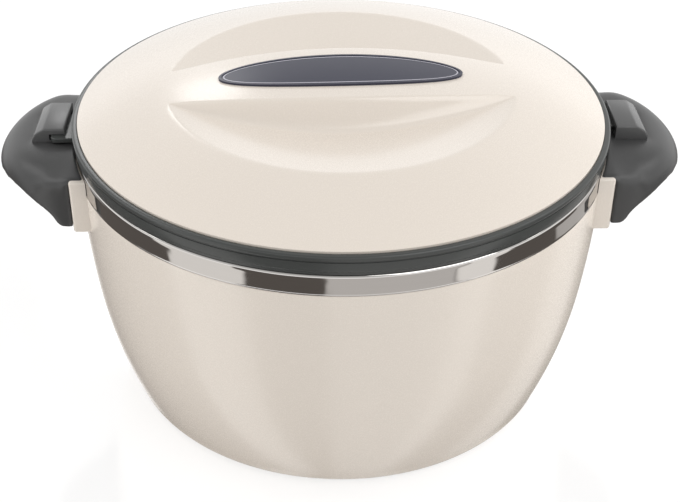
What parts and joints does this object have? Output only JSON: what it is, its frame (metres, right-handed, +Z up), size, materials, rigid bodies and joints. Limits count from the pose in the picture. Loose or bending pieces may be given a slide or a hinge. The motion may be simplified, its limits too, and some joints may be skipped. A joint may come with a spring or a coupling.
{
  "type": "insulated chapati casserole",
  "caption": "Round insulated serving casserole with a steel bowl, two side handles and a twist-lock lift-off lid with a moulded grip.",
  "frame": {"origin": "centre of the base, on the surface it stands on", "axes": "+Z up, +X through the right handle, -Y towards the front of the picture"},
  "size_m": [0.3358, 0.26, 0.1645],
  "materials": {
    "cream_plastic": "glossy moulded",
    "foam": "rigid foam",
    "polished_steel": "polished",
    "dark_plastic": "satin moulded",
    "hood_plastic": "satin moulded",
    "ring_plastic": "semi-gloss moulded",
    "screw_steel": "zinc plated",
    "silicone": "silicone",
    "badge_navy": "printed and lacquered",
    "badge_edge": "glossy"
  },
  "bodies": {
    "pot": {"outer_body": "cream_plastic", "base_plug": "cream_plastic", "pot_foam": "foam", "inner_bowl": "polished_steel", "right_handle": "dark_plastic", "left_handle": "dark_plastic", "right_lock_hood": "hood_plastic", "left_lock_hood": "hood_plastic", "right_handle_screws": "screw_steel", "left_handle_screws": "screw_steel", "right_hood_screw": "screw_steel", "left_hood_screw": "screw_steel"},
    "gasket": {"lid_gasket": "silicone"},
    "lid": {"lid_cover": "cream_plastic", "lid_ring": "ring_plastic", "lid_foam": "foam", "lid_inner_plate": "polished_steel", "lid_badge": "badge_navy", "badge_frame": "badge_edge"}
  },
  "joints": [
    {"name": "lid_lift", "type": "slide", "parent": "pot", "child": "gasket", "axis": [0, 0, 1], "range_m": [0, 0.13]},
    {"name": "lid_turn", "type": "hinge", "parent": "gasket", "child": "lid", "pos_m": [0, 0, 0.1342], "axis": [0, 0, 1], "range_deg": [-1.5, 166]}
  ]
}
